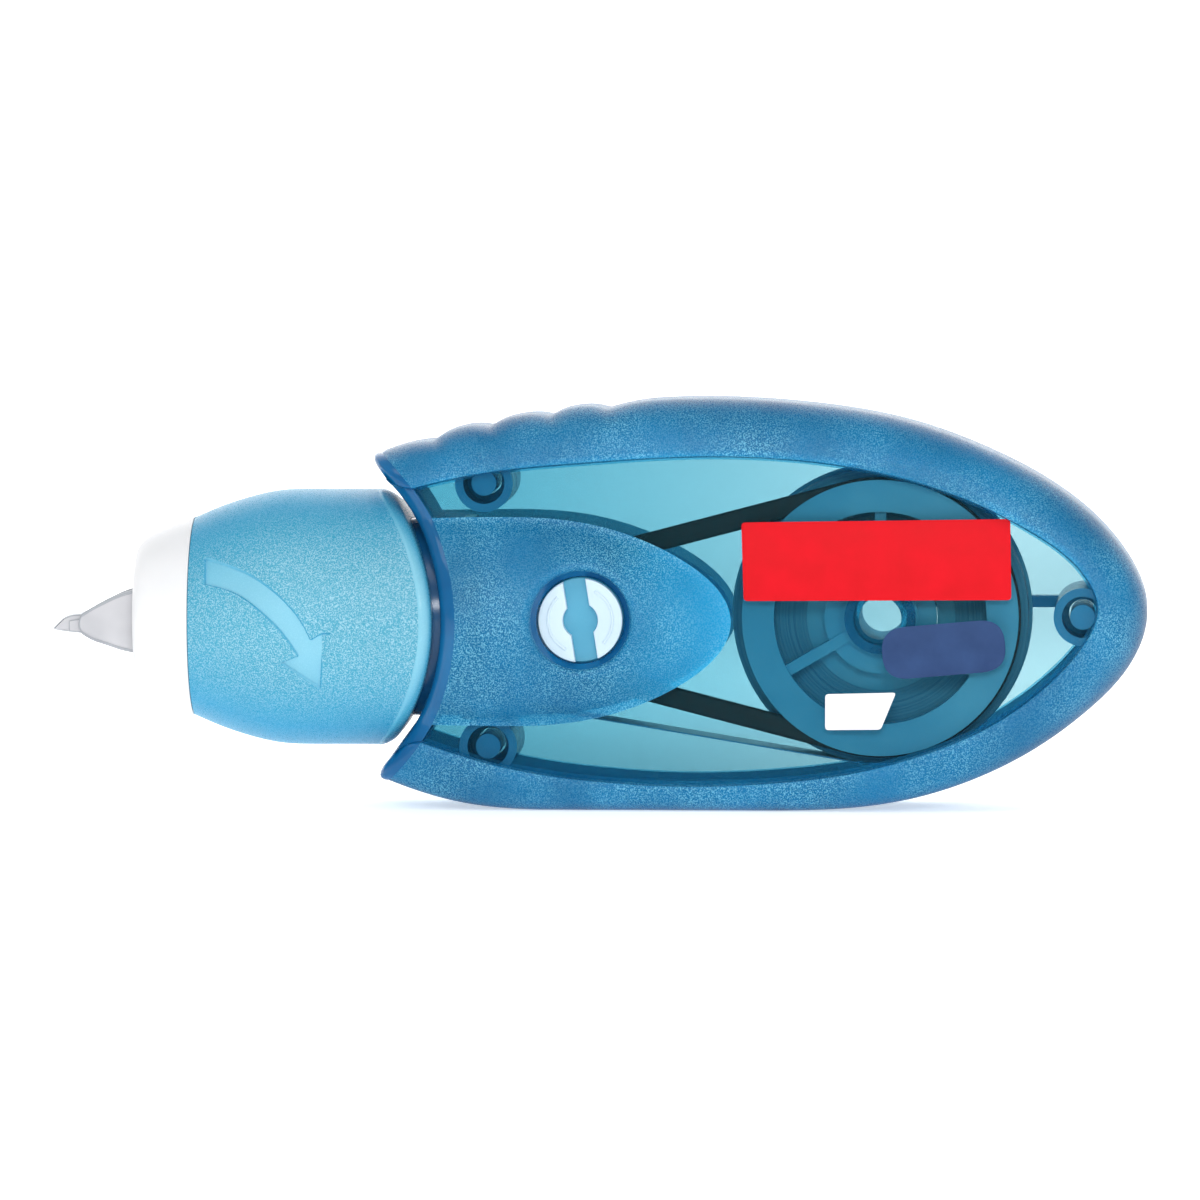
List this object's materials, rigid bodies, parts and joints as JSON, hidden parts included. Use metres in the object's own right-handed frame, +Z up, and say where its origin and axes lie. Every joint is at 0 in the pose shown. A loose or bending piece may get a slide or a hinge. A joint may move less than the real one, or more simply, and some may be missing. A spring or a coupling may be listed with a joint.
{
  "type": "correction tape roller",
  "caption": "Handheld correction tape roller: translucent case with supply and take-up reels, rubber drive belt, applicator tip and a twist cap that screws forward over the tip.",
  "frame": {"origin": "centre of the bounding box in X and Y, on the ground plane under the flat lower edge of the case", "axes": "+X from the applicator tip to the tail, +Y through the thickness away from the near side, +Z up"},
  "size_m": [0.0931, 0.0218, 0.0348],
  "materials": {
    "shell_plastic": "frosted translucent blue with polished windows",
    "neck_plastic": "translucent blue",
    "tip_plastic": "natural translucent",
    "white_plastic": "matt white",
    "cap_plastic": "finely textured light blue",
    "reel_plastic": "translucent teal",
    "belt_rubber": "black",
    "fresh_tape": "white correction film on release paper",
    "used_tape": "glassine backing",
    "print_red": "printed ink",
    "print_blue": "printed ink",
    "print_white": "printed ink"
  },
  "bodies": {
    "case": {"near_shell": "shell_plastic", "far_shell": "shell_plastic", "neck": "neck_plastic", "applicator_tip": "tip_plastic", "drive_belt": "belt_rubber", "fresh_tape": "fresh_tape", "return_tape": "used_tape", "reel_retainer": "white_plastic", "red_panel": "print_red", "blue_badge": "print_blue", "white_strip": "print_white"},
    "nose": {"nose_sleeve": "white_plastic"},
    "cap": {"twist_cap": "cap_plastic"},
    "supply_reel": {"supply_spool": "reel_plastic", "supply_tape": "fresh_tape"},
    "drive": {"drive_pulley": "reel_plastic", "clutch_spring": "white_plastic"},
    "take_up_reel": {"take_up_spool": "white_plastic", "take_up_pulley": "white_plastic", "take_up_flange": "white_plastic", "take_up_tape": "used_tape"}
  },
  "joints": [
    {"name": "nose_advance", "type": "slide", "parent": "case", "child": "nose", "axis": [-1, 0, 0], "range_m": [0, 0.008]},
    {"name": "cap_twist", "type": "hinge", "parent": "nose", "child": "cap", "pos_m": [-0.025, 0, 0.01605], "axis": [-1, 0, 0], "range_deg": [0, 90]},
    {"name": "supply_turn", "type": "hinge", "parent": "case", "child": "supply_reel", "pos_m": [0.024, 0, 0.01635], "axis": [0, 1, 0], "continuous": true},
    {"name": "drive_turn", "type": "hinge", "parent": "case", "child": "drive", "pos_m": [0.024, 0, 0.01635], "axis": [0, 1, 0], "continuous": true},
    {"name": "take_up_turn", "type": "hinge", "parent": "case", "child": "take_up_reel", "pos_m": [-0.0012, 0, 0.0163], "axis": [0, 1, 0], "continuous": true}
  ],
  "couplings": [
    {"joint": "nose_advance", "follows": "cap_twist", "m_per_rad": 0.005093},
    {"joint": "drive_turn", "follows": "supply_turn", "ratio": 1},
    {"joint": "take_up_turn", "follows": "supply_turn", "ratio": 2.33}
  ]
}
